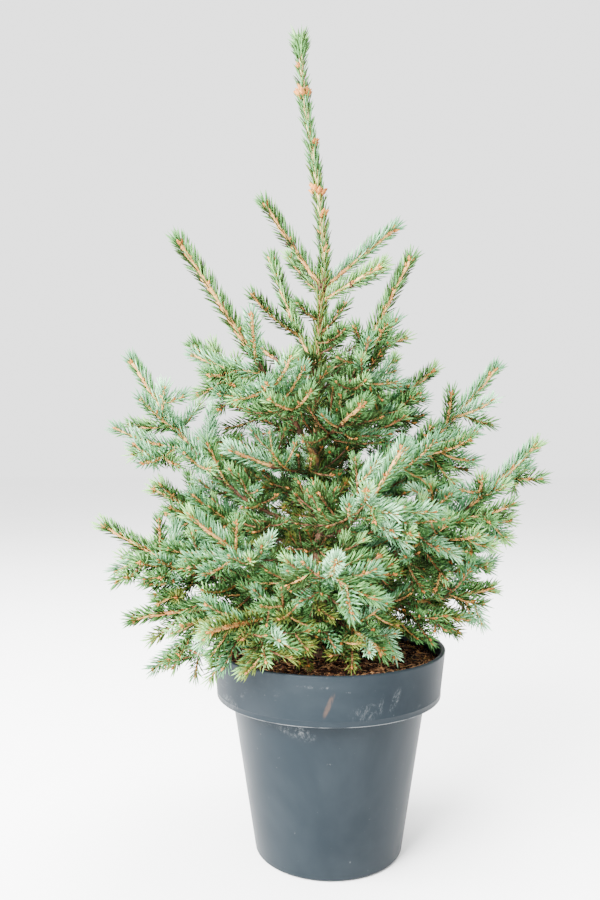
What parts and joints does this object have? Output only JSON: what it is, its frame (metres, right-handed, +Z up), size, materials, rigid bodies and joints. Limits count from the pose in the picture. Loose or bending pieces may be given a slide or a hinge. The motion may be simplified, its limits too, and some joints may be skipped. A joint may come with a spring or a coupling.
{
  "type": "potted black spruce",
  "caption": "Young black spruce with a tall leader and upswept needled boughs, growing in a round tapered pot with a wide band under its rim.",
  "frame": {"origin": "middle of the pot's flat underside", "axes": "+Z up along the pot's axis towards the tree's tip, -Y towards the front, +X to the right seen from the front"},
  "size_m": [0.4788, 0.3931, 0.92],
  "materials": {
    "pot_plastic": "matte",
    "peat": "matte",
    "bark": "matte",
    "needles": "matte"
  },
  "bodies": {
    "root": {"bough_broad_back_left": "bark", "bough_broad_back_right": "bark", "bough_broad_front_right": "bark", "bough_broad_left": "bark", "bough_broad_left_low": "bark", "bough_broad_right": "bark", "bough_low_back_left": "bark", "bough_low_back_right": "bark", "bough_low_front": "bark", "bough_low_front_left": "bark", "bough_low_left": "bark", "bough_low_right": "bark", "bough_low_right_back": "bark", "bough_middle_back": "bark", "bough_middle_front_left": "bark", "bough_middle_left": "bark", "bough_middle_right": "bark", "bough_middle_right_steep": "bark", "foliage_broad_back": "needles", "foliage_broad_back_left": "needles", "foliage_broad_back_right": "needles", "foliage_broad_front_right": "needles", "foliage_broad_left": "needles", "foliage_broad_left_low": "needles", "foliage_broad_right": "needles", "foliage_internode": "needles", "foliage_leader": "needles", "foliage_low_back": "needles", "foliage_low_back_left": "needles", "foliage_low_back_right": "needles", "foliage_low_front": "needles", "foliage_low_front_left": "needles", "foliage_low_left": "needles", "foliage_low_right": "needles", "foliage_low_right_back": "needles", "foliage_middle_back": "needles", "foliage_middle_back_right": "needles", "foliage_middle_front_left": "needles", "foliage_middle_front_right": "needles", "foliage_middle_left": "needles", "foliage_middle_left_low": "needles", "foliage_middle_right": "needles", "foliage_middle_right_steep": "needles", "foliage_skirt_back_left": "needles", "foliage_skirt_back_right": "needles", "foliage_skirt_front_left": "needles", "foliage_skirt_front_right": "needles", "foliage_skirt_left": "needles", "foliage_skirt_right": "needles", "foliage_top_back_left": "needles", "foliage_top_front_right": "needles", "foliage_top_left": "needles", "foliage_top_right": "needles", "foliage_upper_back": "needles", "foliage_upper_back_left": "needles", "foliage_upper_left": "needles", "foliage_upper_right": "needles", "pot": "pot_plastic", "soil": "peat", "trunk": "bark"}
  },
  "joints": []
}
